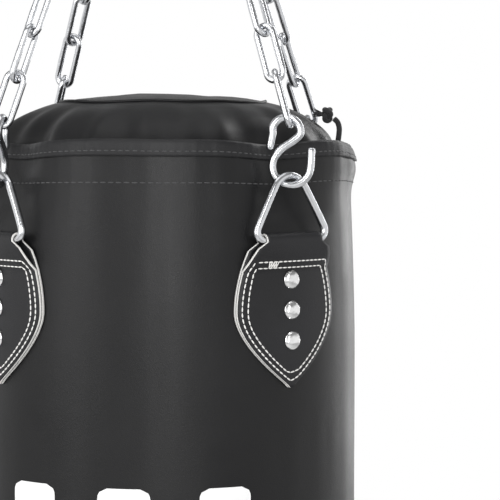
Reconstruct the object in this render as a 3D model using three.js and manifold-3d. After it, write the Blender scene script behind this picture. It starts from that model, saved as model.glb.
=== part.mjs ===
// Hanging heavy bag with a four-leg chain set, in millimetres, +Z up.
// The origin is where the hanger's eye rests on the hook that holds it up.
// The four straps are at -Y, +X, +Y and -X, and every leg repeats the same pieces.
import * as THREE from "three";
import { mergeVertices } from "three/addons/utils/BufferGeometryUtils.js";
import Module from "manifold-3d";

const wasm = await Module();
wasm.setup();

// Driving dimensions.
const GAP = 0.35;
const BAG_RADIUS = 165;
const BAG_HEIGHT = 1000;
const RIM_Z = -432; // top edge of the bag
const RIM_RADIUS = 157.5; // the collar is drawn in a little at the top
const WALL = 2.2;
const DENT = 14;
const DENT_REACH = 75; // below the rim
const DENT_HALF_ANGLE = 0.22; // radians
const BAR_DROP = 79; // ring bar below the rim
const BAR_RADIUS_FROM_AXIS = 169.3;
const LEG_NAMES = ["front", "right", "back", "left"];

const LINK_WIRE = 5.4;
const LINK_PITCH = 41.5;
const LINK_HALF_WIDTH = 7.3; // to the middle of the wire
const LINK_PLAY = 1.2; // between one link and the next
const LINKS_PER_LEG = 8;
const CHAIN_LEAN = THREE.MathUtils.degToRad(22.75);
const HOOK_WIRE = 6.4;
const HOOK_LEAN = THREE.MathUtils.degToRad(3);
const HOOK_HALF = 27; // contact to middle
const RING_WIRE = 6.4;
const RING_HEIGHT = 51.4;
// Roll of each link about the leg, from the tangential plane: the two lowest are twisted.
const LINK_ROLLS = [90, 180, 270, 360, 450, 546, 654, 764];
const HOOK_ROLL = -48;

const STRAP_LAYER = 2.5;
const STRAP_HALF_LOOP = 27.5;
const STRAP_LENGTH = 119;
const RIVET_DROPS = [32, 56.5, 81];

const PLATE_THICKNESS = 6;
const WEB = 4; // metal between a hole of the plate and its edge
const EYE_RADIUS = 20;
const EYE_WIRE = 10;

const metal = (color, roughness) => new THREE.MeshStandardMaterial({ color, roughness, metalness: 1 });
const soft = (color, roughness) => new THREE.MeshStandardMaterial({ color, roughness, metalness: 0 });
const zinc = () => metal(0xc9ccd0, 0.28);
const steel = () => metal(0xa8abae, 0.35);
const leather = () => soft(0x1b1b1d, 0.45);

const bag = new THREE.Group();
const v2 = (x, y) => new THREE.Vector2(x, y);
const v3 = (x, y, z) => new THREE.Vector3(x, y, z);

function add(name, geometry, material, parent = bag) {
  const mesh = new THREE.Mesh(geometry, material);
  mesh.name = name;
  parent.add(mesh);
  return mesh;
}

// Booleans: three.js geometry to a solid, and back.
function solid(geometry) {
  const bare = geometry.index ? geometry.toNonIndexed() : geometry.clone();
  bare.deleteAttribute("normal");
  bare.deleteAttribute("uv");
  const merged = mergeVertices(bare, 1e-3);
  const vertProperties = new Float32Array(merged.attributes.position.array);
  const triVerts = new Uint32Array(merged.index.array);
  return new wasm.Manifold(new wasm.Mesh({ numProp: 3, vertProperties, triVerts }));
}

function geometryOf(manifold) {
  const mesh = manifold.getMesh();
  const geometry = new THREE.BufferGeometry();
  geometry.setAttribute("position", new THREE.BufferAttribute(new Float32Array(mesh.vertProperties), 3));
  geometry.setIndex(new THREE.BufferAttribute(new Uint32Array(mesh.triVerts), 1));
  return geometry;
}

const join = (...parts) => geometryOf(parts.map(solid).reduce((a, b) => a.add(b)));
const cut = (body, ...tools) => geometryOf(tools.map(solid).reduce((a, b) => a.subtract(b), solid(body)));

// A solid of revolution about Z; the profile holds [radius, z] pairs.
function turned(profile, segments = 40) {
  const geometry = new THREE.LatheGeometry(profile.map(([r, z]) => v2(r, z)), segments);
  return geometry.rotateX(Math.PI / 2);
}

function rod(radius, length, sides = 10) {
  return new THREE.CylinderGeometry(radius, radius, length, sides);
}

// Round wire of the given radius along a 3-D curve.
function wire(curve, radius, steps, sides = 6) {
  const section = new THREE.Shape();
  for (let i = 0; i < sides; i++) {
    const a = (2 * Math.PI * (i + 0.5)) / sides;
    const p = [radius * Math.cos(a), radius * Math.sin(a)];
    if (i === 0) section.moveTo(...p);
    else section.lineTo(...p);
  }
  section.closePath();
  return new THREE.ExtrudeGeometry(section, { steps, extrudePath: curve });
}

// Round wire bent into one welded loop, so it has no ends.
function wireLoop(curve, radius, steps, sides = 6) {
  const frames = curve.computeFrenetFrames(steps, true);
  const positions = [];
  const index = [];
  for (let i = 0; i < steps; i++) {
    const middle = curve.getPointAt(i / steps);
    for (let j = 0; j < sides; j++) {
      const a = (2 * Math.PI * (j + 0.5)) / sides;
      const p = middle.clone()
        .addScaledVector(frames.normals[i], radius * Math.cos(a))
        .addScaledVector(frames.binormals[i], radius * Math.sin(a));
      positions.push(p.x, p.y, p.z);
      const [next, side] = [(i + 1) % steps, (j + 1) % sides];
      const [p00, p10, p11, p01] = [i * sides + j, next * sides + j, next * sides + side, i * sides + side];
      index.push(p00, p01, p10, p10, p01, p11);
    }
  }
  const geometry = new THREE.BufferGeometry();
  geometry.setAttribute("position", new THREE.Float32BufferAttribute(positions, 3));
  geometry.setIndex(index);
  const flat = geometry.toNonIndexed();
  flat.computeVertexNormals();
  return flat;
}

// Points along an arc in the XY plane, angles in degrees.
function arc(cx, cy, radius, from, to, count) {
  const points = [];
  for (let i = 0; i <= count; i++) {
    const a = THREE.MathUtils.degToRad(from + ((to - from) * i) / count);
    points.push(v3(cx + radius * Math.cos(a), cy + radius * Math.sin(a), 0));
  }
  return points;
}

const closedCurve = (points) => new THREE.CatmullRomCurve3(points, true, "centripetal");
const openCurve = (points) => new THREE.CatmullRomCurve3(points, false, "centripetal");

// One long chain link: its length is along Y, its plane is XY, centred on the origin.
function linkGeometry() {
  const half = (LINK_PITCH + LINK_WIRE) / 2 - LINK_HALF_WIDTH;
  const points = [
    ...arc(0, half, LINK_HALF_WIDTH, 0, 180, 4),
    ...arc(0, -half, LINK_HALF_WIDTH, 180, 360, 4),
  ];
  return wireLoop(closedCurve(points), LINK_WIRE / 2, 16);
}

// S-hook in the XY plane: a closed upper loop and a wider lower loop.
function hookGeometry() {
  const points = [
    v3(-16, 1.5, 0),
    ...arc(-3.8, 15.6, 11.4, 195, -5, 6),
    v3(2.4, 8.6, 0),
    v3(-6.2, 1.8, 0),
    ...arc(2.5, -11.7, 15.3, 160, 360, 7),
    v3(17.6, 2.6, 0),
  ];
  const loopShift = Math.atan2(6.3, 2 * HOOK_HALF); // puts both loops' ends on the leg's line
  return wire(openCurve(points), HOOK_WIRE / 2, 24).translate(0.65, 0, 0).rotateZ(-loopShift);
}

// Triangle ring in the XY plane, its bar's middle at the origin and its apex up +Y.
function ringGeometry() {
  const side = 29.9; // degrees between the legs and the vertical
  const points = [
    v3(0, 0, 0),
    v3(20, 0, 0),
    ...arc(28.3, 7, 7, -90, side, 3),
    ...arc(0, RING_HEIGHT - 18, 18, side, 180 - side, 4),
    ...arc(-28.3, 7, 7, 180 - side, 270, 3),
    v3(-20, 0, 0),
  ];
  return wireLoop(closedCurve(points), RING_WIRE / 2, 22);
}

// Radius of the bag's outer skin at a depth below the rim.
function skinRadius(depth) {
  const t = Math.min(depth / 180, 1);
  return RIM_RADIUS + (BAG_RADIUS - RIM_RADIUS) * Math.sin((t * Math.PI) / 2);
}

// The collar is pressed in behind each hook, so skin, binding and lid share this dent.
function dented(geometry) {
  const position = geometry.getAttribute("position");
  for (let i = 0; i < position.count; i++) {
    const [x, y, z] = [position.getX(i), position.getY(i), position.getZ(i)];
    const depth = THREE.MathUtils.clamp(RIM_Z - z, 0, DENT_REACH);
    const turn = Math.atan2(y, x);
    const off = (turn - Math.round(turn / (Math.PI / 2)) * (Math.PI / 2)) / DENT_HALF_ANGLE;
    const inward = DENT * Math.exp(-off * off) * (1 - Math.pow(depth / DENT_REACH, 1.5));
    const radius = Math.hypot(x, y);
    if (radius > 100) position.setXY(i, (x * (radius - inward)) / radius, (y * (radius - inward)) / radius);
  }
  return geometry;
}

// Half width of the shield-shaped strap at a depth below the ring's bar.
function strapHalfWidth(drop) {
  const [wide, widest] = [50, 58];
  if (drop < widest) return 39 + (wide - 39) * Math.sin(((drop - 9) / (widest - 9)) * (Math.PI / 2));
  const t = (drop - widest) / (STRAP_LENGTH - widest);
  return Math.max(wide * (1 - Math.pow(t, 1.75)), 1.5);
}

// The strap's two layers on the bag's skin, for a strap that faces -Y.
function strapPlate() {
  const rows = 9;
  const columns = 6;
  const grid = [];
  for (const layer of [0, 1]) {
    for (let i = 0; i <= rows; i++) {
      const drop = 9 + ((STRAP_LENGTH - 9) * i) / rows;
      const depth = BAR_DROP + drop;
      const radius = skinRadius(depth) + GAP + layer * 2 * STRAP_LAYER;
      for (let j = 0; j <= columns; j++) {
        const a = ((2 * j) / columns - 1) * (strapHalfWidth(drop) / BAG_RADIUS);
        grid.push(radius * Math.sin(a), -radius * Math.cos(a), RIM_Z - depth);
      }
    }
  }
  const at = (layer, i, j) => (layer * (rows + 1) + i) * (columns + 1) + j;
  const index = [];
  const quad = (a, b, c, d) => index.push(a, b, c, a, c, d);
  for (let i = 0; i < rows; i++) {
    for (let j = 0; j < columns; j++) {
      quad(at(1, i, j), at(1, i + 1, j), at(1, i + 1, j + 1), at(1, i, j + 1));
      quad(at(0, i, j), at(0, i, j + 1), at(0, i + 1, j + 1), at(0, i + 1, j));
    }
    quad(at(0, i, 0), at(0, i + 1, 0), at(1, i + 1, 0), at(1, i, 0));
    quad(at(1, i, columns), at(1, i + 1, columns), at(0, i + 1, columns), at(0, i, columns));
  }
  for (let j = 0; j < columns; j++) {
    quad(at(0, 0, j), at(1, 0, j), at(1, 0, j + 1), at(0, 0, j + 1));
    quad(at(1, rows, j), at(0, rows, j), at(0, rows, j + 1), at(1, rows, j + 1));
  }
  const geometry = new THREE.BufferGeometry();
  geometry.setAttribute("position", new THREE.BufferAttribute(new Float32Array(grid), 3));
  geometry.setIndex(index);
  return geometry;
}

// The loop of the strap round the ring's bar: a teardrop with a hole, along X.
function strapLoop() {
  const inner = RING_WIRE / 2 + 0.5;
  const outer = inner + STRAP_LAYER;
  const back = -(skinRadius(BAR_DROP + 14) + GAP) + BAR_RADIUS_FROM_AXIS;
  const outline = new THREE.Shape();
  outline.absarc(0, 0, outer, 0, Math.PI, false);
  outline.lineTo(-outer, -4);
  outline.lineTo(back - 2 * STRAP_LAYER, -16);
  outline.lineTo(back, -16);
  outline.lineTo(back + 0.1, -9);
  outline.closePath();
  const hole = new THREE.Path();
  hole.absarc(0, 0, inner, 0, 2 * Math.PI, true);
  outline.holes.push(hole);
  const depth = 2 * STRAP_HALF_LOOP;
  const geometry = new THREE.ExtrudeGeometry(outline, { depth, bevelEnabled: false, curveSegments: 8 });
  const frame = new THREE.Matrix4().makeBasis(v3(0, 1, 0), v3(0, 0, 1), v3(1, 0, 0));
  geometry.applyMatrix4(frame);
  return geometry.translate(-STRAP_HALF_LOOP, -BAR_RADIUS_FROM_AXIS, RIM_Z - BAR_DROP);
}

const rivetZ = (drop) => RIM_Z - BAR_DROP - drop;
const rivetSkin = (drop) => skinRadius(BAR_DROP + drop);

function rivetHoles(radius) {
  return RIVET_DROPS.map((drop) => rod(radius, 24, 8).translate(0, -BAG_RADIUS, rivetZ(drop)));
}

// Three domed rivets on one backing strip inside the skin.
function rivetRow() {
  const parts = RIVET_DROPS.map((drop) => {
    const face = rivetSkin(drop) + GAP + 2 * STRAP_LAYER + GAP;
    const back = rivetSkin(drop) - WALL - 2.3;
    const profile = [[0, 0], [3, 0], [3, face - back], [7.6, face - back], [6.6, face - back + 2.4],
      [3.6, face - back + 3.8], [0, face - back + 4.2]];
    return turned(profile, 8).rotateX(Math.PI / 2).translate(0, -back, rivetZ(drop));
  });
  const length = RIVET_DROPS[2] - RIVET_DROPS[0] + 14;
  const tilt = Math.atan2(rivetSkin(RIVET_DROPS[2]) - rivetSkin(RIVET_DROPS[0]), RIVET_DROPS[2] - RIVET_DROPS[0]);
  const strip = new THREE.BoxGeometry(13, 1.6, length).rotateX(-tilt);
  strip.translate(0, -(rivetSkin(RIVET_DROPS[1]) - WALL - 2.3), rivetZ(RIVET_DROPS[1]));
  return join(strip, ...parts);
}

// Hanger: eye and swivel housing, bearing, clevis, pin and the four-hole plate.
function hanger() {
  const eyeZ = -(EYE_RADIUS - EYE_WIRE / 2);
  const eye = wireLoop(closedCurve(arc(0, 0, EYE_RADIUS, 0, 324, 9)), EYE_WIRE / 2, 24, 8);
  eye.rotateX(Math.PI / 2).translate(0, 0, eyeZ);
  const top = eyeZ - EYE_RADIUS;
  const housing = turned([[0, top - 8], [14, top - 8], [14, top - 22], [6.6, top - 22], [6.6, top - 27],
    [18, top - 27], [20, top - 24], [20, top - 4], [15, top + 2], [0, top + 2]], 24);
  add("swivel_housing", join(eye, housing), steel());
  const bearing = turned([[7, top - 21.6], [13.5, top - 21.6], [13.5, top - 17], [7, top - 17], [7, top - 21.6]], 16);
  add("thrust_bearing", bearing, metal(0x8f9296, 0.3));

  const clevisTop = top - 27.6;
  const stem = turned([[0, clevisTop - 6], [16, clevisTop - 6], [16, clevisTop], [6.2, clevisTop],
    [6.2, top - 16.6], [12, top - 16.6], [12, top - 9], [0, top - 9]], 20);
  const [earFoot, earHead] = [PIN_Z - 9, clevisTop - 4];
  const ears = [-1, 1].map((side) => new THREE.BoxGeometry(18, 7, earHead - earFoot)
    .translate(0, side * 8.2, (earHead + earFoot) / 2));
  const bore = rod(4.4, 40, 12).translate(0, 0, PIN_Z);
  add("swivel_clevis", cut(join(stem, ...ears), bore), steel());
  const pinHead = rod(6.5, 3, 12).translate(0, -13.6, PIN_Z);
  const pinTail = rod(5.6, 3, 12).translate(0, 13.6, PIN_Z);
  const pin = join(rod(4, 27, 12).translate(0, 0, PIN_Z), pinHead, pinTail);
  add("clevis_pin", pin, zinc());

  const plateTop = PLATE_Z + PLATE_THICKNESS / 2;
  const disc = rod(WEB_RADIUS + WEB / 2, PLATE_THICKNESS, 32).rotateX(Math.PI / 2).translate(0, 0, PLATE_Z);
  const lug = new THREE.BoxGeometry(18, 8, 31).translate(0, 0, plateTop + 11);
  const holes = LEG_NAMES.map((_, i) => rod(6.6, 20, 12).rotateX(Math.PI / 2)
    .translate(0, -(WEB_RADIUS - WEB / 2 - 6.6), PLATE_Z).rotateZ((i * Math.PI) / 2));
  add("hanger_plate", cut(join(disc, lug), rod(4.4, 30, 12).translate(0, 0, PIN_Z), ...holes), steel());
}

// The leg in the plane of its strap, from the ring's bar up to the plate: r outward, z up.
const rz = (r, z) => v2(r, z);
const barAt = rz(BAR_RADIUS_FROM_AXIS, RIM_Z - BAR_DROP);
const RING_LEAN = THREE.MathUtils.degToRad(3);
const upRing = rz(-Math.sin(RING_LEAN), Math.cos(RING_LEAN));
const upHook = rz(-Math.sin(HOOK_LEAN), Math.cos(HOOK_LEAN));
const upChain = rz(-Math.sin(CHAIN_LEAN), Math.cos(CHAIN_LEAN));
const along = (from, direction, distance) => from.clone().addScaledVector(direction, distance);
const hookBottom = along(along(barAt, upRing, RING_HEIGHT), upHook, -(RING_WIRE + HOOK_WIRE) / 2 - LINK_PLAY);
const hookMiddle = along(hookBottom, upHook, HOOK_HALF);
const hookTop = along(hookMiddle, upHook, HOOK_HALF);
const chainFoot = along(hookTop, upChain, -(LINK_WIRE + HOOK_WIRE) / 2 - LINK_PLAY);
const CHAIN_STEP = LINK_PITCH - LINK_PLAY;
const chainHead = along(chainFoot, upChain, LINKS_PER_LEG * CHAIN_STEP + LINK_WIRE + LINK_PLAY);
const webMiddle = along(chainHead, upChain, -(LINK_WIRE / 2 + PLATE_THICKNESS / 2 + 1.2));
const WEB_RADIUS = webMiddle.x;
const PLATE_Z = webMiddle.y;
const PIN_Z = PLATE_Z + 21;

// Places geometry made in the XY plane: Y goes up the leg, rolled about it, for a leg facing -Y.
function placed(geometry, up, roll, at) {
  const yAxis = v3(0, -up.x, up.y);
  const xAxis = v3(1, 0, 0).applyAxisAngle(yAxis, THREE.MathUtils.degToRad(roll));
  const zAxis = v3(0, 0, 0).crossVectors(xAxis, yAxis);
  geometry.applyMatrix4(new THREE.Matrix4().makeBasis(xAxis, yAxis, zAxis));
  return geometry.translate(0, -at.x, at.y);
}

function leg(name, turn) {
  const group = new THREE.Group();
  group.rotation.z = turn;
  bag.add(group);
  for (let i = 0; i < LINKS_PER_LEG; i++) {
    const middle = along(chainHead, upChain, -(LINK_PITCH + LINK_WIRE) / 2 - i * CHAIN_STEP);
    add(`${name}_link_${i + 1}`, placed(linkGeometry(), upChain, LINK_ROLLS[i], middle), zinc(), group);
  }
  add(`${name}_s_hook`, placed(hookGeometry(), upHook, HOOK_ROLL, hookMiddle), zinc(), group);
  add(`${name}_triangle_ring`, placed(ringGeometry(), upRing, 0, barAt), zinc(), group);
  const strap = cut(join(strapPlate(), strapLoop()), ...rivetHoles(3.4));
  add(`${name}_strap`, strap, leather(), group);
  add(`${name}_rivet_row`, rivetRow(), zinc(), group);
}

// Bag: skin, rim binding, lid, filling, base disc and the free end of the draw cord.
function bagBody() {
  const depths = [0, 10, 25, 50, 95, 180];
  const floorZ = RIM_Z - BAG_HEIGHT + 3;
  const outer = depths.map((d) => [skinRadius(d), RIM_Z - 1.5 - d]);
  const inner = depths.map((d) => [skinRadius(d) - WALL, RIM_Z - 1.5 - d]).reverse();
  const profile = [[0, floorZ], [BAG_RADIUS - 6, floorZ], [BAG_RADIUS, floorZ + 6], ...outer.reverse(),
    ...inner.reverse(), [BAG_RADIUS - WALL, floorZ + 7], [BAG_RADIUS - WALL - 5, floorZ + 3], [0, floorZ + 3]];
  const holes = LEG_NAMES.flatMap((_, i) => rivetHoles(3.4).map((hole) => hole.rotateZ((i * Math.PI) / 2)));
  add("shell", cut(dented(turned(profile, 48)), ...holes), leather());

  const [out, back] = [skinRadius(11) + 0.6, RIM_RADIUS - WALL - 0.5];
  const binding = [[out, RIM_Z - 11], [out + 1.2, RIM_Z - 11], [out + 1.2, RIM_Z - 0.8], [out, RIM_Z],
    [back, RIM_Z], [back - 1.2, RIM_Z - 0.8], [back - 1.2, RIM_Z - 11], [back, RIM_Z - 11],
    [back, RIM_Z - 1.1], [out, RIM_Z - 1.1], [out, RIM_Z - 11]];
  add("rim_binding", dented(turned(binding, 48)), leather());

  const lid = [[0, RIM_Z - 30], [140, RIM_Z - 30], [146, RIM_Z - 24], [147, RIM_Z - 4], [142, RIM_Z + 10],
    [132, RIM_Z + 20], [115, RIM_Z + 28], [75, RIM_Z + 35], [0, RIM_Z + 38]];
  add("lid", dented(turned(lid, 48)), leather());

  const fillRadius = skinRadius(0) - WALL - 5;
  const filling = [[0, floorZ + 4], [fillRadius - 8, floorZ + 4], [fillRadius, floorZ + 14],
    [fillRadius, RIM_Z - 45], [fillRadius - 10, RIM_Z - 32], [0, RIM_Z - 31]];
  add("filling", dented(turned(filling, 48)), soft(0x8a8378, 0.95));

  const base = [[0, floorZ - 3], [BAG_RADIUS - 9, floorZ - 3], [BAG_RADIUS - 7, floorZ - 1.5],
    [BAG_RADIUS - 7, floorZ - GAP], [0, floorZ - GAP]];
  add("base_disc", turned(base, 40), leather());
}

// Free end of the collar's draw cord: up out of the collar, over and down to its knot on the lid.
const CORD_TURN = THREE.MathUtils.degToRad(-36); // from +X
const CORD_ROUTE = [[150.2, 0, -17], [150.3, 0, -6], [151.6, 0, 4], [152, 1, 10], [150.6, 1, 15], [147.6, 0, 18]];

function drawCord() {
  const place = (r, side, z) => v3(r, side, RIM_Z + z).applyAxisAngle(v3(0, 0, 1), CORD_TURN);
  const route = openCurve(CORD_ROUTE.map((p) => place(...p)));
  add("draw_cord", wire(route, 2.4, 7, 8), soft(0x111112, 0.8));
  const knot = new THREE.IcosahedronGeometry(6, 1);
  const at = place(141.6, 0, 22);
  add("cord_knot", knot.translate(at.x, at.y, at.z), soft(0x111112, 0.85));
}

hanger();
LEG_NAMES.forEach((name, i) => leg(name, (i * Math.PI) / 2));
bagBody();
drawCord();

export default bag;
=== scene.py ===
"""Looks of the hanging heavy bag: leather, stitching, straps, chain and swivel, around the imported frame."""
import math
import random

import bpy
from mathutils import Matrix, Vector, noise


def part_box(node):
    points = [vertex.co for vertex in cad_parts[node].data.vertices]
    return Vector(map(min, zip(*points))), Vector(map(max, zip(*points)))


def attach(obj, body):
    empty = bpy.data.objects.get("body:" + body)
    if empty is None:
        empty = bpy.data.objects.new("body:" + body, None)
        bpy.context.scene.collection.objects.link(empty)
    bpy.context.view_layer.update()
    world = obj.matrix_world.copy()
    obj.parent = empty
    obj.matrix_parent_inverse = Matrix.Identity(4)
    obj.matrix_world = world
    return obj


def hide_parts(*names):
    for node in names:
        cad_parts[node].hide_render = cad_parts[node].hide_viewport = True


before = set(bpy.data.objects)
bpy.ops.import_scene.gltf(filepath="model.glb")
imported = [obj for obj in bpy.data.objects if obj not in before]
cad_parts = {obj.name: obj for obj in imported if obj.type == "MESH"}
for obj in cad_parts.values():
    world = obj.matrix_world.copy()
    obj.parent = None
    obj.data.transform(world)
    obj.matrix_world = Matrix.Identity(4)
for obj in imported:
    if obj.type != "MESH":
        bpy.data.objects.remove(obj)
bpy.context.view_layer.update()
MM = 0.001
LEGS = ["front", "right", "back", "left"]
random.seed(11)

# Sizes taken from the frame, in metres.
rim_low, rim_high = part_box("rim_binding")
RIM_Z = rim_high[2]
shell_low, shell_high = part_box("shell")
BAG_RADIUS = shell_high[0]
FLOOR_OF_BAG = shell_low[2]

# Sizes that repeat the part's driving dimensions, in metres.
RIM_RADIUS = 0.1575
WALL = 0.0022
DENT, DENT_REACH, DENT_HALF_ANGLE = 0.014, 0.075, 0.22
BAR_DROP, BAR_RADIUS = 0.079, 0.1693
LINK_WIRE, LINK_PITCH, LINK_HALF_WIDTH, LINK_PLAY = 0.0054, 0.0415, 0.0073, 0.0012
HOOK_WIRE, HOOK_HALF, RING_WIRE, RING_HEIGHT = 0.0064, 0.027, 0.0064, 0.0514
LINKS_PER_LEG = 8
CHAIN_LEAN, HOOK_LEAN, RING_LEAN = math.radians(22.75), math.radians(3), math.radians(3)
LINK_ROLLS = [90, 180, 270, 360, 450, 546, 654, 764]
HOOK_ROLL = -48
STRAP_LAYER, STRAP_LENGTH, STRAP_HALF_LOOP = 0.0025, 0.119, 0.0275
RIVET_DROPS = [0.032, 0.0565, 0.081]
VIEW_TURN = math.radians(-39.5)  # which way the view looks, turned from +Y
FLARE_TURN = math.radians(-38)  # direction, from +X, where the collar flares most


# ---------------------------------------------------------------- camera, lights and stage
def make_camera():
    data = bpy.data.cameras.new("camera")
    camera = bpy.data.objects.new("camera", data)
    bpy.context.collection.objects.link(camera)
    right = Vector((math.cos(VIEW_TURN), math.sin(VIEW_TURN), 0))
    target = Vector((0, 0, RIM_Z - 0.095)) + right * 0.0745
    distance, rise = 1.85, math.radians(3.4)
    back = Vector((math.sin(VIEW_TURN) * math.cos(rise), -math.cos(VIEW_TURN) * math.cos(rise), math.sin(rise)))
    camera.location = target + back * distance
    camera.rotation_euler = (target - camera.location).to_track_quat("-Z", "Y").to_euler()
    data.sensor_width = 36
    data.lens = 36 * distance / 0.4315
    bpy.context.scene.camera = camera


def area_light(name, place, target, size, power):
    data = bpy.data.lights.new(name, "AREA")
    data.shape = "RECTANGLE"
    data.size, data.size_y = size
    data.energy = power
    light = bpy.data.objects.new(name, data)
    light.location = place
    light.rotation_euler = (Vector(target) - Vector(place)).to_track_quat("-Z", "Y").to_euler()
    bpy.context.collection.objects.link(light)


def make_stage():
    scene = bpy.context.scene
    scene.view_settings.view_transform = "Standard"
    world = bpy.data.worlds.new("studio")
    scene.world = world
    world.use_nodes = True
    nodes, links = world.node_tree.nodes, world.node_tree.links
    place, split = nodes.new("ShaderNodeTexCoord"), nodes.new("ShaderNodeSeparateXYZ")
    level = nodes.new("ShaderNodeMath")
    level.operation = "ABSOLUTE"
    shade = nodes.new("ShaderNodeValToRGB")
    shade.color_ramp.elements[0].position, shade.color_ramp.elements[1].position = 0.25, 0.55
    shade.color_ramp.elements[0].color, shade.color_ramp.elements[1].color = (1, 1, 1, 1), (0.3, 0.3, 0.3, 1)
    links.new(place.outputs["Generated"], split.inputs["Vector"])
    links.new(split.outputs["Z"], level.inputs[0])
    links.new(level.outputs["Value"], shade.inputs["Fac"])
    links.new(shade.outputs["Color"], nodes["Background"].inputs["Color"])
    world.node_tree.nodes["Background"].inputs["Strength"].default_value = 1.0
    floor = mesh_piece("floor", [(-3, -3, 0), (3, -3, 0), (3, 3, 0), (-3, 3, 0)], [(0, 1, 2, 3)],
                       [plain_material("floor_paint", (0.86, 0.86, 0.86), 0.7)])
    floor.location.z = FLOOR_OF_BAG - 0.35
    middle = (0, 0, RIM_Z - 0.3)
    spin = Matrix.Rotation(VIEW_TURN, 3, "Z")
    area_light("left_box", spin @ Vector((-1.5, -1.3, 0.1)), middle, (0.5, 2.2), 16)
    area_light("front_box", spin @ Vector((0.15, -2.1, 0.1)), middle, (0.25, 2.0), 25)
    area_light("right_box", spin @ Vector((1.3, 1.6, 0.0)), middle, (0.35, 2.2), 15)
    area_light("top_box", (0, 0, 1.2), middle, (1.4, 1.4), 8)


# ---------------------------------------------------------------- materials
def new_material(name):
    material = bpy.data.materials.new(name)
    material.use_nodes = True
    nodes = material.node_tree.nodes
    return material, nodes, material.node_tree.links, nodes["Principled BSDF"]


def plain_material(name, color, roughness):
    material, nodes, links, shader = new_material(name)
    shader.inputs["Base Color"].default_value = (*color, 1)
    shader.inputs["Roughness"].default_value = roughness
    return material


def noise_node(nodes, links, coordinates, scale, detail=4, roughness=0.55):
    texture = nodes.new("ShaderNodeTexNoise")
    texture.inputs["Scale"].default_value = scale
    texture.inputs["Detail"].default_value = detail
    texture.inputs["Roughness"].default_value = roughness
    links.new(coordinates.outputs["Object"], texture.inputs["Vector"])
    return texture


def ramp(nodes, links, source, low, high):
    """Maps a 0 to 1 source onto the range low to high, as numbers or colours."""
    node = nodes.new("ShaderNodeValToRGB")
    as_color = lambda v: (*v, 1) if isinstance(v, tuple) else (v, v, v, 1)
    node.color_ramp.elements[0].position = 0.3
    node.color_ramp.elements[1].position = 0.7
    node.color_ramp.elements[0].color = as_color(low)
    node.color_ramp.elements[1].color = as_color(high)
    links.new(source, node.inputs["Fac"])
    return node.outputs["Color"]


def bumped(nodes, links, shader, layers):
    """Chains bump nodes; each layer is (height output, distance in metres, strength)."""
    normal = None
    for height, distance, strength in layers:
        bump = nodes.new("ShaderNodeBump")
        bump.inputs["Distance"].default_value = distance
        bump.inputs["Strength"].default_value = strength
        links.new(height, bump.inputs["Height"])
        if normal:
            links.new(normal, bump.inputs["Normal"])
        normal = bump.outputs["Normal"]
    links.new(normal, shader.inputs["Normal"])


def leather(name, dark, light, rough_low, rough_high, grain=0.25):
    material, nodes, links, shader = new_material(name)
    coordinates = nodes.new("ShaderNodeTexCoord")
    cells = nodes.new("ShaderNodeTexVoronoi")
    cells.feature = "DISTANCE_TO_EDGE"
    cells.inputs["Scale"].default_value = 900
    links.new(coordinates.outputs["Object"], cells.inputs["Vector"])
    cloud = noise_node(nodes, links, coordinates, 14, 5)
    fine = noise_node(nodes, links, coordinates, 420, 3)
    creases = noise_node(nodes, links, coordinates, 45, 6, 0.7)
    links.new(ramp(nodes, links, cloud.outputs["Fac"], dark, light), shader.inputs["Base Color"])
    links.new(ramp(nodes, links, cloud.outputs["Fac"], rough_low, rough_high), shader.inputs["Roughness"])
    shader.inputs["Specular IOR Level"].default_value = 0.25
    shader.inputs["Coat Weight"].default_value = 0.06
    shader.inputs["Coat Roughness"].default_value = 0.3
    bumped(nodes, links, shader, [(creases.outputs["Fac"], 0.0012, 0.12),
                                  (cells.outputs["Distance"], 0.0006, grain),
                                  (fine.outputs["Fac"], 0.0003, 0.2)])
    return material


def wire_metal(name, color, rough_low, rough_high, dents=0.15):
    material, nodes, links, shader = new_material(name)
    coordinates = nodes.new("ShaderNodeTexCoord")
    shader.inputs["Metallic"].default_value = 1
    cloud = noise_node(nodes, links, coordinates, 160, 4)
    fine = noise_node(nodes, links, coordinates, 900, 3)
    darker = tuple(0.86 * c for c in color)
    links.new(ramp(nodes, links, cloud.outputs["Fac"], darker, color), shader.inputs["Base Color"])
    links.new(ramp(nodes, links, fine.outputs["Fac"], rough_low, rough_high), shader.inputs["Roughness"])
    bumped(nodes, links, shader, [(cloud.outputs["Fac"], 0.0006, dents), (fine.outputs["Fac"], 0.0002, 0.1)])
    return material


def fibre(name, color, roughness, scale):
    material, nodes, links, shader = new_material(name)
    coordinates = nodes.new("ShaderNodeTexCoord")
    cloud = noise_node(nodes, links, coordinates, scale, 4)
    lighter = tuple(min(1.0, 1.25 * c + 0.004) for c in color)
    links.new(ramp(nodes, links, cloud.outputs["Fac"], color, lighter), shader.inputs["Base Color"])
    shader.inputs["Roughness"].default_value = roughness
    shader.inputs["Sheen Weight"].default_value = 0.15
    bumped(nodes, links, shader, [(cloud.outputs["Fac"], 0.0004, 0.6)])
    return material


# ---------------------------------------------------------------- mesh tools
def mesh_piece(name, vertices, faces, materials, smooth=True):
    mesh = bpy.data.meshes.new(name)
    mesh.from_pydata([tuple(v) for v in vertices], [], faces)
    mesh.validate()
    mesh.update()
    for material in materials:
        mesh.materials.append(material)
    for polygon in mesh.polygons:
        polygon.use_smooth = smooth
    piece = bpy.data.objects.new(name, mesh)
    bpy.context.collection.objects.link(piece)
    return piece


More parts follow.
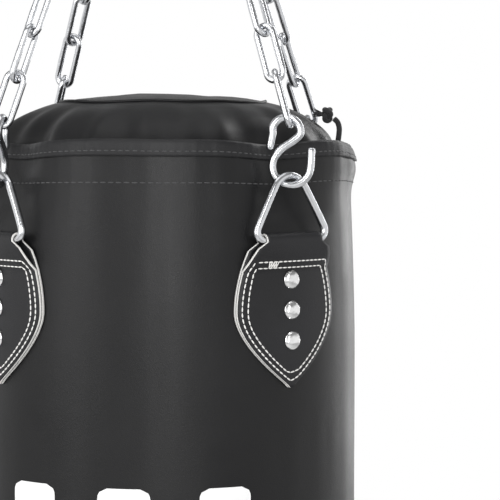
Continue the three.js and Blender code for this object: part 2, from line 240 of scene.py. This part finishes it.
class Solid:
    """Collects vertices and faces of one piece, with a material number for each face."""

    def __init__(self):
        self.vertices, self.faces, self.slots = [], [], []

    def grid(self, rows, closed_rows=False, closed_columns=False, slot=0):
        """Adds a quad grid from rows of points and returns the index of its first vertex."""
        start, width = len(self.vertices), len(rows[0])
        self.vertices += [p for row in rows for p in row]
        down = len(rows) if closed_rows else len(rows) - 1
        across = width if closed_columns else width - 1
        for i in range(down):
            for j in range(across):
                a, b = start + i * width + j, start + i * width + (j + 1) % width
                c = start + (i + 1) % len(rows) * width
                self.faces.append((a, b, c + (j + 1) % width, c + j))
                self.slots.append(slot)
        return start

    def cap(self, first, count, flip=False, slot=0):
        ring = list(range(first, first + count))
        self.faces.append(tuple(reversed(ring)) if flip else tuple(ring))
        self.slots.append(slot)

    def piece(self, name, materials, smooth=True):
        made = mesh_piece(name, self.vertices, self.faces, materials, smooth)
        if len(made.data.polygons) == len(self.slots):
            for polygon, slot in zip(made.data.polygons, self.slots):
                polygon.material_index = slot
        return made


def spline(points, closed, per_span=8):
    """Points on a centripetal Catmull-Rom curve through the given points."""
    pts = [Vector(p) for p in points]
    count = len(pts)
    if closed:
        pick = lambda i: pts[i % count]
    else:
        first, last = 2 * pts[0] - pts[1], 2 * pts[-1] - pts[-2]
        pick = lambda i: first if i < 0 else last if i >= count else pts[i]
    result = []
    for i in range(count if closed else count - 1):
        p = [pick(i + k) for k in (-1, 0, 1, 2)]
        knots = [0.0]
        for a, b in zip(p, p[1:]):
            knots.append(knots[-1] + max((b - a).length, 1e-9) ** 0.5)
        for s in range(per_span):
            t = knots[1] + (knots[2] - knots[1]) * s / per_span
            blend = lambda a, b, low, high: (a * (high - t) + b * (t - low)) / (high - low)
            first_level = [blend(p[k], p[k + 1], knots[k], knots[k + 1]) for k in range(3)]
            second_level = [blend(first_level[k], first_level[k + 1], knots[k], knots[k + 2]) for k in range(2)]
            result.append(blend(*second_level, knots[1], knots[2]))
    if not closed:
        result.append(pts[-1])
    return result


def tube(solid, points, radius, sides=14, closed=False, round_ends=True, slot=0):
    """A round tube along points; radius is a number or a function of the fraction along it."""
    count = len(points)
    radius_at = radius if callable(radius) else (lambda t: radius)
    tangents = []
    for i in range(count):
        before = points[i - 1] if i or closed else points[0]
        after = points[(i + 1) % count] if i < count - 1 or closed else points[-1]
        tangents.append((after - before).normalized())
    side = tangents[0].orthogonal().normalized()
    frames = []
    for tangent in tangents:
        side = (side - tangent * side.dot(tangent)).normalized()
        frames.append((side.copy(), tangent.cross(side)))
    twist = 0.0
    if closed:
        back = (frames[-1][0] - tangents[0] * frames[-1][0].dot(tangents[0])).normalized()
        twist = math.atan2(frames[0][0].cross(back).dot(tangents[0]), frames[0][0].dot(back))

    def ring(i, scale=1.0, shift=0.0):
        a, b = frames[i]
        turn = -twist * i / count
        r = radius_at(i / (count - 1)) * scale
        middle = points[i] + tangents[i] * shift
        return [middle + (a * math.cos(turn + 2 * math.pi * k / sides) + b * math.sin(turn + 2 * math.pi * k / sides)) * r
                for k in range(sides)]

    rows = [ring(i) for i in range(count)]
    if not closed and round_ends:
        r0, r1 = radius_at(0), radius_at(1)
        rows = [ring(0, s, -r0 * d) for s, d in ((0.35, 0.55), (0.75, 0.4))] + rows
        rows += [ring(count - 1, s, r1 * d) for s, d in ((0.75, 0.4), (0.35, 0.55))]
    start = solid.grid(rows, closed_rows=closed, closed_columns=True, slot=slot)
    if not closed:
        solid.cap(start, sides, flip=True, slot=slot)
        solid.cap(start + (len(rows) - 1) * sides, sides, slot=slot)


def finished(piece, body, slot, *nodes):
    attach(piece, body)
    if nodes:
        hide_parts(*nodes)
    return piece


def turned(name, profile, materials, segments=48):
    """A solid of revolution about Z from (radius, z) pairs that start and end on the axis."""
    solid = Solid()
    rows = [[Vector((max(r, 1e-6) * math.cos(a), max(r, 1e-6) * math.sin(a), z))
             for a in (2 * math.pi * k / segments for k in range(segments))] for r, z in profile]
    start = solid.grid(rows, closed_columns=True)
    solid.cap(start, segments, flip=True)
    solid.cap(start + (len(rows) - 1) * segments, segments)
    return solid.piece(name, materials)


# ---------------------------------------------------------------- the bag's own shape
def gap_angle(a, b):
    return math.atan2(math.sin(a - b), math.cos(a - b))


def skin_radius(depth):
    t = min(max(depth, 0) / 0.18, 1)
    return RIM_RADIUS + (BAG_RADIUS - RIM_RADIUS) * math.sin(t * math.pi / 2)


def strap_offset(turn):
    return turn - round(turn / (math.pi / 2)) * (math.pi / 2)


def dent_at(turn, depth):
    reach = min(max(depth, 0), DENT_REACH) / DENT_REACH
    return DENT * math.exp(-((strap_offset(turn) / DENT_HALF_ANGLE) ** 2)) * (1 - reach**1.5)


def flare_at(turn, depth):
    """The collar stands out a little between the straps, most at the side with the draw cord."""
    side = math.exp(-((gap_angle(turn, FLARE_TURN) / 0.42) ** 2))
    between = math.sin(2 * turn) ** 2
    lip = math.exp(-(((depth - 0.018) / 0.016) ** 2))
    return 0.0055 * side * lip + 0.0022 * between * math.exp(-depth / 0.05)


def rim_drop(turn):
    """How far the rim's top edge sags below its highest level."""
    strap = 0.0045 * math.exp(-((strap_offset(turn) / 0.3) ** 2))
    side = 0.009 * math.exp(-((gap_angle(turn, FLARE_TURN) / 0.3) ** 2))
    wave = 0.0012 * noise.noise(Vector((math.cos(turn) * 2.1, math.sin(turn) * 2.1, 4.2)))
    return strap + side + wave


def wrinkle(turn, depth):
    """Soft unevenness of the filled skin, in metres, strongest at the collar."""
    around = Vector((math.cos(turn), math.sin(turn), 0))
    broad = noise.noise(around * 2.2 + Vector((0, 0, depth * 2.5))) * 0.0012
    small = noise.noise(around * 9 + Vector((0, 0, depth * 9))) * 0.00035
    collar = noise.noise(around * 16 + Vector((0, 0, depth * 3))) * 0.0007 * math.exp(-depth / 0.06)
    return broad + small + collar


def skin_point(turn, depth, out=0.0):
    """A point on the bag's outer skin, out metres proud of it."""
    fade = min(max(depth, 0) / 0.06, 1)
    radius = skin_radius(depth) - dent_at(turn, depth) + flare_at(turn, depth) + out
    near_strap = math.exp(-((strap_offset(turn) / 0.4) ** 4)) if 0.06 < depth < 0.22 else 0
    radius += wrinkle(turn, depth) * (1 - near_strap)
    z = RIM_Z - depth - rim_drop(turn) * (1 - fade)
    return Vector((radius * math.cos(turn), radius * math.sin(turn), z))


AROUND = 288
TURNS = [2 * math.pi * k / AROUND for k in range(AROUND)]


def make_shell(skin, lining):
    height = RIM_Z - FLOOR_OF_BAG
    depths = [0.002 + 0.003 * i for i in range(20)] + [0.062 + 0.006 * i for i in range(27)]
    depths += [0.23 + (height - 0.012 - 0.23) * i / 60 for i in range(61)]
    solid = Solid()
    rows = [[skin_point(t, d) for t in TURNS] for d in reversed(depths)]
    foot = [(0.0, 0.0), (0.155, 0.0), (0.1605, 0.0012), (0.1635, 0.0042), (BAG_RADIUS - 0.0004, 0.0082)]
    floor_rows = [[Vector((max(r, 1e-5) * math.cos(t), max(r, 1e-5) * math.sin(t), FLOOR_OF_BAG + h)) for t in TURNS]
                  for r, h in foot]
    start = solid.grid(floor_rows + rows, closed_columns=True)
    solid.cap(start, AROUND, flip=True)
    inner = [[skin_point(t, d, -WALL) for t in TURNS] for d in (0.002, 0.012, 0.024, 0.04)]
    last = start + (len(floor_rows) + len(rows) - 1) * AROUND
    inside = solid.grid(inner, closed_columns=True, slot=1)
    for k in range(AROUND):
        n = (k + 1) % AROUND
        solid.faces.append((last + k, last + n, inside + n, inside + k))
        solid.slots.append(0)
    solid.cap(inside + 3 * AROUND, AROUND, slot=1)
    shell = solid.piece("bag_skin", [skin, lining])
    finished(shell, "bag", "bag_leather", "shell", "filling")


def make_binding(tape):
    """Tape folded over the rim, as a rounded strip that follows the collar."""
    outline = [(0.0015, 0.0122), (0.0019, 0.0105), (0.0019, 0.003), (0.0014, 0.0003), (0.0002, -0.0012),
               (-WALL, -0.0013), (-WALL - 0.0012, 0.0002), (-WALL - 0.0015, 0.003), (-WALL - 0.0015, 0.011),
               (-WALL - 0.0002, 0.012)]
    solid = Solid()
    rows = []
    for out, depth in outline:
        rows.append([])
        for t in TURNS:
            pucker = 0.00035 * math.sin(t * 118) + 0.0004 * noise.noise(Vector((math.cos(t) * 9, math.sin(t) * 9, 1)))
            p = skin_point(t, max(depth, 0.0), out + (pucker if out > 0 else 0))
            p.z = RIM_Z - depth - rim_drop(t) * (1 - max(depth, 0) / 0.06) + 0.0006
            rows[-1].append(p)
    solid.grid(rows, closed_rows=True, closed_columns=True)
    finished(solid.piece("rim_tape", [tape]), "bag", "binding_tape", "rim_binding")


def lid_point(radius, turn):
    """The puffed lid: flat in the middle, round at the shoulder, creased towards the rim."""
    edge = 0.1445
    t = min(radius / edge, 1)
    height = 0.034 * (1 - t**3.6) ** 0.62 + 0.009 * (1 - t * t)
    folds = 0.0013 * math.sin(turn * 23 + 3 * noise.noise(Vector((math.cos(turn), math.sin(turn), 7))))
    folds += 0.002 * noise.noise(Vector((math.cos(turn) * 7, math.sin(turn) * 7, 3)))
    folds *= max(0.0, (t - 0.62) / 0.38) ** 1.5
    sink = 0.0018 * noise.noise(Vector((radius * 22 * math.cos(turn), radius * 22 * math.sin(turn), 9)))
    squeeze = dent_at(turn, 0.0) * t**6
    r = radius + folds * 0.7 - squeeze
    return Vector((r * math.cos(turn), r * math.sin(turn), RIM_Z - 0.004 + height + folds + sink * (1 - t**4)))


def make_lid(skin):
    solid = Solid()
    radii = [1e-5] + [0.012 * i for i in range(1, 9)] + [0.1 + 0.0445 * math.sin(i * math.pi / 36) for i in range(19)]
    rows = [[lid_point(r, t) for t in TURNS] for r in radii]
    edge = rows[-1]
    for drop, inward in ((0.004, -0.0006), (0.012, 0.0004), (0.02, 0.002), (0.026, 0.005)):
        rows.append([Vector((p.x * (1 - inward / 0.145), p.y * (1 - inward / 0.145), p.z - drop)) for p in edge])
    start = solid.grid([list(reversed(row)) for row in rows], closed_columns=True)
    solid.cap(start, AROUND, flip=True)
    solid.cap(start + (len(rows) - 1) * AROUND, AROUND)
    lid = solid.piece("lid_cushion", [skin])
    finished(lid, "bag", "bag_leather", "lid")
    panel = [lid_point(0.088, t) + Vector((0, 0, 0.0006)) for t in TURNS]
    seam = Solid()
    tube(seam, panel, 0.0012, sides=8, closed=True)
    finished(seam.piece("lid_seam_cord", [skin]), "bag", "bag_leather")


def stitch_row(solid, points, length=0.0034, gap=0.0016, radius=0.00042, closed=False, slot=0):
    """Short raised threads along a dense line of points, with their ends tucked in."""
    distance, spot, step = 0.0, None, length + gap
    run = list(points) + ([points[0]] if closed else [])
    for a, b in zip(run, run[1:]):
        span = (b - a).length
        while span > 1e-9 and distance < span:
            here = a.lerp(b, distance / span)
            if spot is not None:
                direction = (here - spot).normalized()
                middle = (here + spot) / 2
                half = direction * length / 2
                ends = [middle - half, middle, middle + half]
                tube(solid, ends, lambda t: radius * (1.25 - abs(t - 0.5)), sides=6, slot=slot)
            spot = here
            distance += step
        distance -= span


def make_bag_stitches(grey_thread):
    rim = Solid()
    stitch_row(rim, [skin_point(t, 0.0075, 0.0021) for t in TURNS], length=0.0036, gap=0.0022, closed=True)
    finished(rim.piece("rim_stitches", [grey_thread]), "bag", "binding_tape")
    hem = Solid()
    stitch_row(hem, [skin_point(t, 0.0325, 0.0001) for t in TURNS], length=0.0042, gap=0.0022, closed=True)
    finished(hem.piece("hem_stitches", [grey_thread]), "bag", "bag_leather")


def make_back_seam(skin, thread):
    """The skin's upright lapped seam, at the back left, between two straps."""
    turn = math.radians(133)
    solid, rows = Solid(), []
    depths = [0.014 + 0.008 * i for i in range(121)]
    for across, out in ((-0.0095, 0.0), (-0.009, 0.0011), (0.0085, 0.0013), (0.0092, 0.0)):
        rows.append([skin_point(turn + across / BAG_RADIUS, d, out) for d in depths])
    solid.grid(rows)
    finished(solid.piece("back_seam_lap", [skin]), "bag", "bag_leather")
    lines = Solid()
    for across in (-0.006, 0.0058):
        stitch_row(lines, [skin_point(turn + across / BAG_RADIUS, d, 0.0014) for d in depths], 0.0042, 0.0024)
    finished(lines.piece("back_seam_stitches", [thread]), "bag", "bag_leather")


def make_print(paint):
    """A plain broken band: generic white blocks round the front of the bag."""
    middle = -math.pi / 2 + VIEW_TURN  # the middle of the printed side, from +X
    for number, (low, high) in enumerate([(12, 27), (-16.5, -1.5), (-45, -30), (-73.5, -58.5)]):
        solid, rows = Solid(), []
        corner = 0.008
        for i in range(21):
            depth = 0.275 + 0.062 * i / 20
            inset = 0.0
            for near in (depth - 0.275, 0.337 - depth):
                if near < corner:
                    inset = max(inset, corner - math.sqrt(max(corner**2 - (corner - near) ** 2, 0)))
            a, b = math.radians(low) + inset / BAG_RADIUS, math.radians(high) - inset / BAG_RADIUS
            rows.append([skin_point(middle + a + (b - a) * j / 16, depth, 0.0003) for j in range(17)])
        solid.grid(rows)
        finished(solid.piece(f"print_block_{number + 1}", [paint]), "bag", "bag_leather")


# ---------------------------------------------------------------- a leg: strap, rivets, ring, hook and chain
def turned_to(leg_number, point):
    return Matrix.Rotation(leg_number * math.pi / 2, 3, "Z") @ Vector(point)


def strap_half_width(drop):
    if drop < 0.009:
        t = max(drop + 0.002, 0) / 0.011
        return STRAP_HALF_LOOP + (0.039 - STRAP_HALF_LOOP) * t * t * (3 - 2 * t)
    if drop < 0.058:
        return 0.039 + 0.011 * math.sin((drop - 0.009) / 0.049 * math.pi / 2)
    t = min((drop - 0.058) / (STRAP_LENGTH - 0.058), 1)
    return max(0.05 * (1 - t**1.75), 0.0012)


def strap_surface(leg_number, drop, side, out):
    """A point of the strap at a drop below the bar, side metres across, out metres off the skin."""
    radius = skin_radius(BAR_DROP + drop) + out
    angle = side / BAG_RADIUS
    return turned_to(leg_number, (radius * math.sin(angle), -radius * math.cos(angle), RIM_Z - BAR_DROP - drop))


def strap_path():
    """Middle line of the strap's leather from the front tip, over the bar and down to the back tip.
    Each entry is (distance from the axis, z above the bar, drop for the width, straightness)."""
    front, back = [], []
    for i in range(25):
        drop = STRAP_LENGTH - (STRAP_LENGTH - 0.024) * i / 24
        front.append((skin_radius(BAR_DROP + drop) + 0.0004 + 1.5 * STRAP_LAYER, -drop, drop, 1.0))
        back.append((skin_radius(BAR_DROP + drop) + 0.0004 + 0.5 * STRAP_LAYER, -drop, drop, 1.0))
    wrap = RING_WIRE / 2 + 0.0004 + STRAP_LAYER / 2
    front.append((BAR_RADIUS + 0.0012, -0.0185, 0.0185, 0.8))
    front.append((BAR_RADIUS + 0.0032, -0.0125, 0.0125, 0.55))
    front.append((BAR_RADIUS + wrap * 0.93, -0.006, 0.006, 0.3))
    loop = []
    for degrees in range(-10, 191, 20):
        a = math.radians(degrees)
        loop.append((BAR_RADIUS + wrap * math.cos(a), wrap * math.sin(a), 0.0, 0.15))
    down = [(skin_radius(BAR_DROP + 0.008) + 0.0004 + 0.5 * STRAP_LAYER, -0.008, 0.008, 0.5),
            (skin_radius(BAR_DROP + 0.016) + 0.0004 + 0.5 * STRAP_LAYER, -0.016, 0.016, 0.85)]
    return front + loop + down + list(reversed(back))


def strap_front(leg_number, drop, side, out):
    """A point out metres off the front leaf's face, which stands off the skin near the fold."""
    if drop >= 0.024:
        return strap_surface(leg_number, drop, side, 0.0004 + 2 * STRAP_LAYER + out)
    seat = skin_radius(BAR_DROP + 0.024) + 0.0004 + 1.5 * STRAP_LAYER
    spots = [(0.0125, BAR_RADIUS + 0.0032, 0.55), (0.0185, BAR_RADIUS + 0.0012, 0.8), (0.024, seat, 1.0)]
    (d0, r0, c0), (d1, r1, c1) = spots[:2] if drop < 0.0185 else spots[1:]
    t = (drop - d0) / (d1 - d0)
    bend = (c0 + (c1 - c0) * t) * BAG_RADIUS * (1 - math.cos(side / BAG_RADIUS))
    radius = r0 + (r1 - r0) * t + STRAP_LAYER / 2 + out - bend
    return turned_to(leg_number, (side, -radius, RIM_Z - BAR_DROP - drop))


def make_strap(leg_number, leg, skin, raw_edge):
    path = strap_path()
    solid, half = Solid(), STRAP_LAYER / 2
    columns = 20
    faces = {}
    for face, sign in (("out", 1), ("in", -1)):
        rows = []
        for i, (radius, up, drop, curve) in enumerate(path):
            before, after = path[max(i - 1, 0)], path[min(i + 1, len(path) - 1)]
            along = Vector((after[0] - before[0], after[1] - before[1])).normalized()
            normal = Vector((along.y, -along.x)) * half * sign * -1
            width = strap_half_width(drop)
            row = []
            for j in range(columns + 1):
                side = width * (2 * j / columns - 1)
                edge = 1 - 0.18 * max(0, abs(2 * j / columns - 1) - 0.9) / 0.1
                bend = curve * BAG_RADIUS * (1 - math.cos(side / BAG_RADIUS))
                r = radius - normal.x * -edge - bend
                row.append(turned_to(leg_number, (side, -r, RIM_Z - BAR_DROP + up + normal.y * edge)))
            rows.append(row)
        if sign < 0:
            rows = [list(reversed(row)) for row in rows]
        faces[face] = (solid.grid(rows), rows)
    width = columns + 1
    top, under = faces["out"][0], faces["in"][0]
    for i in range(len(path) - 1):
        for near, far in ((0, columns), (columns, 0)):
            a, b = top + i * width + near, top + (i + 1) * width + near
            c, d = under + (i + 1) * width + far, under + i * width + far
            solid.faces.append((a, b, c, d) if near == 0 else (d, c, b, a))
            solid.slots.append(1)
    for i in (0, len(path) - 1):
        for j in range(columns):
            a, b = top + i * width + j, top + i * width + j + 1
            c, d = under + i * width + columns - j - 1, under + i * width + columns - j
            solid.faces.append((d, c, b, a) if i else (a, b, c, d))
            solid.slots.append(1)
    strap = solid.piece(f"{leg}_strap_leather", [skin, raw_edge])
    finished(strap, "bag", "strap_leather", f"{leg}_strap")


def strap_outline(inset):
    """The shield outline, inset by a distance, as (side, drop) pairs from top left round to top left."""
    left = []
    top, tip = 0.0125 + inset, STRAP_LENGTH - inset * 1.25
    count = 46
    for i in range(count + 1):
        drop = top + (tip - top) * i / count
        slope = 1.0 if drop < 0.07 else 1.0 + 0.35 * (drop - 0.07) / 0.049
        left.append((-max(strap_half_width(drop) - inset * slope, 0.0), drop))
    right = [(-side, drop) for side, drop in reversed(left)]
    across = [(right[-1][0] + (left[0][0] - right[-1][0]) * i / 24, top) for i in range(1, 24)]
    return left + right[1:] + across


def make_strap_stitches(leg_number, leg, thread):
    solid = Solid()
    out = 0.0002
    for inset in (0.0045, 0.0095):
        line = [strap_front(leg_number, drop, side, out) for side, drop in strap_outline(inset)]
        stitch_row(solid, line, length=0.0034, gap=0.0013, radius=0.00055, closed=True)
    zigzag = [strap_front(leg_number, 0.0172 + 0.0048 * (i % 2), -0.024 + 0.0011 * i, out) for i in range(9)]
    for a, b in zip(zigzag, zigzag[1:]):
        tube(solid, [a, (a + b) / 2, b], 0.0005, sides=6)
    finished(solid.piece(f"{leg}_strap_stitches", [thread]), "bag", "strap_leather")


def make_rivets(leg_number, leg, nickel):
    """Three domed, lightly hammered heads."""
    solid = Solid()
    for number, drop in enumerate(RIVET_DROPS):
        base = strap_surface(leg_number, drop, 0, 0.0004 + 2 * STRAP_LAYER)
        outward = (strap_surface(leg_number, drop, 0, 1) - base).normalized()
        across = outward.orthogonal().normalized()
        up = outward.cross(across)
        profile = [(0.0079, -0.0002), (0.0079, 0.0006), (0.0076, 0.0012), (0.0068, 0.0025), (0.0055, 0.0036),
                   (0.0038, 0.0043), (0.0019, 0.0047), (0.00001, 0.0048)]
        rows = []
        for r, h in profile:
            row = []
            for k in range(28):
                a = 2 * math.pi * k / 28
                direction = across * math.cos(a) + up * math.sin(a)
                hammer = noise.noise(direction * r * 380 + Vector((number * 5, leg_number * 3, h * 200)))
                row.append(base + direction * r * (1 + 0.02 * hammer) + outward * (h + 0.00045 * hammer * (h > 0.001)))
            rows.append(row)
        start = solid.grid(rows, closed_columns=True)
        solid.cap(start, 28, flip=True)
        solid.cap(start + 7 * 28, 28)
    finished(solid.piece(f"{leg}_rivet_heads", [nickel]), "bag", "rivet_nickel", f"{leg}_rivet_row")


def along(point, lean, distance):
    """Moves a (radius, z) point up a line that leans inward by the given angle."""
    return (point[0] - math.sin(lean) * distance, point[1] + math.cos(lean) * distance)


BAR = (BAR_RADIUS, RIM_Z - BAR_DROP)
HOOK_BOTTOM = along(along(BAR, RING_LEAN, RING_HEIGHT), HOOK_LEAN, -(RING_WIRE + HOOK_WIRE) / 2 - LINK_PLAY)
HOOK_MIDDLE = along(HOOK_BOTTOM, HOOK_LEAN, HOOK_HALF)
HOOK_TOP = along(HOOK_MIDDLE, HOOK_LEAN, HOOK_HALF)
CHAIN_FOOT = along(HOOK_TOP, CHAIN_LEAN, -(LINK_WIRE + HOOK_WIRE) / 2 - LINK_PLAY)
CHAIN_STEP = LINK_PITCH - LINK_PLAY
CHAIN_HEAD = along(CHAIN_FOOT, CHAIN_LEAN, LINKS_PER_LEG * CHAIN_STEP + LINK_WIRE + LINK_PLAY)


def placed(points, lean, roll, middle, leg_number):
    """Puts points of the XY plane on a leg: Y goes up the leg, rolled about it."""
    up = Vector((0, math.sin(lean), math.cos(lean)))
    across = Matrix.Rotation(math.radians(roll), 3, up) @ Vector((1, 0, 0))
    facing = across.cross(up)
    base = Vector((0, -middle[0], middle[1]))
    return [turned_to(leg_number, base + across * p[0] + up * p[1] + facing * p[2]) for p in points]


def arc(cx, cy, radius, start, end, count):
    angles = [math.radians(start + (end - start) * i / count) for i in range(count + 1)]
    return [(cx + radius * math.cos(a), cy + radius * math.sin(a), 0) for a in angles]


def link_line():
    half = (LINK_PITCH + LINK_WIRE) / 2 - LINK_HALF_WIDTH
    sides = 8
    line = arc(0, half, LINK_HALF_WIDTH, 0, 180, 20)
    line += [(-LINK_HALF_WIDTH, half - 2 * half * i / sides, 0) for i in range(1, sides)]
    line += arc(0, -half, LINK_HALF_WIDTH, 180, 360, 20)
    line += [(LINK_HALF_WIDTH, -half + 2 * half * i / sides, 0) for i in range(1, sides)]
    return line


def hook_line():
    knots = [(-16, 1.5, 0), *arc(-3.8, 15.6, 11.4, 195, -5, 9), (2.4, 8.6, 0), (-6.2, 1.8, 0),
             *arc(2.5, -11.7, 15.3, 160, 360, 11), (17.6, 2.6, 0)]
    turn = -math.atan2(6.3, 54)
    line = []
    for p in spline(knots, closed=False, per_span=5):
        x, y = (p.x + 0.65) * MM, p.y * MM
        line.append((x * math.cos(turn) - y * math.sin(turn), x * math.sin(turn) + y * math.cos(turn), 0))
    return line


def ring_line():
    side = 29.9
    knots = [(0, 0, 0), (20, 0, 0), *arc(28.3, 7, 7, -90, side, 6),
             *arc(0, RING_HEIGHT / MM - 18, 18, side, 180 - side, 10),
             *arc(-28.3, 7, 7, 180 - side, 270, 6), (-20, 0, 0)]
    return [tuple(c * MM for c in p) for p in spline(knots, closed=True, per_span=4)]


def weld_bulge(t):
    """A link's wire, a little fatter and uneven at the weld in the middle of one side."""
    off_weld = t - 0.93
    return LINK_WIRE / 2 * (1 + 0.11 * math.exp(-((off_weld / 0.018) ** 2))
                            - 0.05 * math.exp(-((off_weld / 0.005) ** 2)))


def chain_body(leg, number):
    return f"{leg}_" + ("upper" if number < 3 else "middle" if number < 6 else "lower") + "_chain"


def make_leg(leg_number, leg, looks):
    make_strap(leg_number, leg, looks["strap"], looks["raw_edge"])
    make_strap_stitches(leg_number, leg, looks["white_thread"])
    make_rivets(leg_number, leg, looks["nickel"])
    ring = Solid()
    tube(ring, placed(ring_line(), RING_LEAN, 0, BAR, leg_number), RING_WIRE / 2, sides=18, closed=True)
    finished(ring.piece(f"{leg}_ring_wire", [looks["zinc"]]), f"{leg}_ring", "zinc_wire", f"{leg}_triangle_ring")
    hook = Solid()
    tube(hook, placed(hook_line(), HOOK_LEAN, HOOK_ROLL, HOOK_MIDDLE, leg_number), HOOK_WIRE / 2, sides=18)
    finished(hook.piece(f"{leg}_hook_wire", [looks["zinc"]]), f"{leg}_hook", "zinc_wire", f"{leg}_s_hook")
    for i in range(LINKS_PER_LEG):
        middle = along(CHAIN_HEAD, CHAIN_LEAN, -(LINK_PITCH + LINK_WIRE) / 2 - i * CHAIN_STEP)
        link = Solid()
        line = placed(link_line(), CHAIN_LEAN, LINK_ROLLS[i], middle, leg_number)
        tube(link, line, weld_bulge, sides=16, closed=True)
        piece = link.piece(f"{leg}_chain_link_{i + 1}", [looks["zinc"]])
        finished(piece, chain_body(leg, i + 1), "zinc_wire", f"{leg}_link_{i + 1}")


# ---------------------------------------------------------------- draw cord
CORD_TURN = math.radians(-36)
CORD_ROUTE = [(150.2, 0, -17), (150.3, 0, -6), (151.6, 0, 4), (152, 1, 10), (150.6, 1, 15), (147.6, 0, 18)]
CORD_DIAMETER = 0.0048
rim_of_cad = -0.432


def cord_place(radius, side, height):
    return Matrix.Rotation(CORD_TURN, 3, "Z") @ Vector((radius * MM, side * MM, rim_of_cad + height * MM))


def make_cord(black_fibre):
    route = spline([cord_place(*p) for p in CORD_ROUTE], closed=False, per_span=4)
    data = bpy.data.curves.new("draw_cord_line", "CURVE")
    data.dimensions = "3D"
    data.bevel_depth = CORD_DIAMETER / 2
    data.bevel_resolution = 4
    data.use_fill_caps = True
    line = data.splines.new("POLY")
    line.points.add(len(route) - 1)
    for point, place in zip(line.points, route):
        point.co = (*place, 1)
    data.materials.append(black_fibre)
    cord = bpy.data.objects.new("draw_cord_free_end", data)
    bpy.context.collection.objects.link(cord)

    middle = cord_place(141.6, 0, 22)
    knot = Solid()
    spin = Matrix.Rotation(CORD_TURN, 3, "Z")
    turns = []
    for i in range(60):
        a = 2 * math.pi * i / 60
        p = Vector((math.sin(a) + 2 * math.sin(2 * a), math.cos(a) - 2 * math.cos(2 * a), -math.sin(3 * a)))
        turns.append(middle + spin @ Vector((p.z * 0.0026, p.x * 0.0019, p.y * 0.0019)))
    tube(knot, turns, CORD_DIAMETER * 0.46, sides=12, closed=True)
    knot_piece = knot.piece("draw_cord_knot", [black_fibre])
    tuft = Solid()
    for i in range(26):
        spread = Vector((-1, random.uniform(-0.75, 0.75), random.uniform(-0.25, 0.6))).normalized()
        start = middle + spin @ Vector((-0.004, random.uniform(-0.0015, 0.0015), random.uniform(-0.001, 0.001)))
        end = start + spin @ (spread * random.uniform(0.007, 0.010))
        bend = (start + end) / 2 + spin @ Vector((0, random.uniform(-1, 1) * 0.0012, random.uniform(-1, 1) * 0.001))
        tube(tuft, [start, bend, end], lambda t: 0.0005 * (1.2 - 0.8 * t), sides=5)
    tuft_piece = tuft.piece("draw_cord_tuft", [black_fibre])
    for piece in (cord, knot_piece, tuft_piece):
        finished(piece, "bag", "cord_fibre")
    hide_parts("draw_cord")
    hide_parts("cord_knot")


# ---------------------------------------------------------------- base and hanger
def make_base(skin, thread):
    low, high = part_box("base_disc")
    radius = high[0]
    profile = [(0, low[2]), (radius - 0.003, low[2]), (radius - 0.0008, low[2] + 0.0006), (radius, low[2] + 0.0016),
               (radius - 0.0004, high[2]), (0, high[2])]
    finished(turned("base_panel", profile, [skin], 96), "bag", "bag_leather", "base_disc")
    rows = Solid()
    ring = [Vector(((BAG_RADIUS + 0.0002) * math.cos(t), (BAG_RADIUS + 0.0002) * math.sin(t), FLOOR_OF_BAG + 0.016))
            for t in TURNS]
    stitch_row(rows, ring, 0.0042, 0.0024, closed=True)
    finished(rows.piece("base_stitches", [thread]), "bag", "bag_leather")


def dress_hanger(steel, nickel):
    """The hanger's own solids keep their shape: a bevel softens their edges under a better material."""
    for node, material in (("swivel_housing", steel), ("swivel_clevis", steel), ("hanger_plate", steel),
                           ("thrust_bearing", nickel), ("clevis_pin", nickel)):
        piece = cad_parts[node]
        piece.data.materials.clear()
        piece.data.materials.append(material)
        for polygon in piece.data.polygons:
            polygon.material_index = 0
        bevel = piece.modifiers.new("soft_edges", "BEVEL")
        bevel.width = 0.0006
        bevel.segments = 2
        bevel.limit_method = "ANGLE"
        bevel.angle_limit = math.radians(40)


make_camera()
black_fibre = fibre("black_cord", (0.010, 0.010, 0.011), 0.85, 1400)
make_cord(black_fibre)
make_stage()
skin = leather("bag_skin_leather", (0.0045, 0.0045, 0.005), (0.0075, 0.0075, 0.008), 0.36, 0.46)
lid_skin = leather("lid_leather", (0.004, 0.004, 0.0045), (0.007, 0.007, 0.0075), 0.42, 0.54)
tape = leather("binding_leather", (0.010, 0.010, 0.011), (0.016, 0.016, 0.017), 0.42, 0.55, grain=0.4)
looks = {
    "strap": leather("strap_grain", (0.010, 0.010, 0.011), (0.016, 0.016, 0.018), 0.4, 0.5, grain=0.45),
    "raw_edge": fibre("raw_cut_edge", (0.62, 0.61, 0.59), 0.9, 700),
    "white_thread": fibre("white_thread", (0.72, 0.71, 0.69), 0.75, 2500),
    "nickel": wire_metal("hammered_nickel", (0.86, 0.86, 0.86), 0.14, 0.24, dents=0.35),
    "zinc": wire_metal("bright_zinc", (0.67, 0.68, 0.70), 0.16, 0.27, dents=0.2),
}
grey_thread = fibre("grey_thread", (0.045, 0.045, 0.047), 0.8, 2500)
make_shell(skin, fibre("collar_lining", (0.02, 0.02, 0.021), 0.9, 900))
make_binding(tape)
make_lid(lid_skin)
make_bag_stitches(grey_thread)
make_back_seam(skin, grey_thread)
make_print(plain_material("white_print", (0.82, 0.82, 0.82), 0.45))
for number, leg in enumerate(LEGS):
    make_leg(number, leg, looks)
make_base(skin, grey_thread)
dress_hanger(wire_metal("forged_zinc_steel", (0.66, 0.67, 0.69), 0.26, 0.4), looks["nickel"])
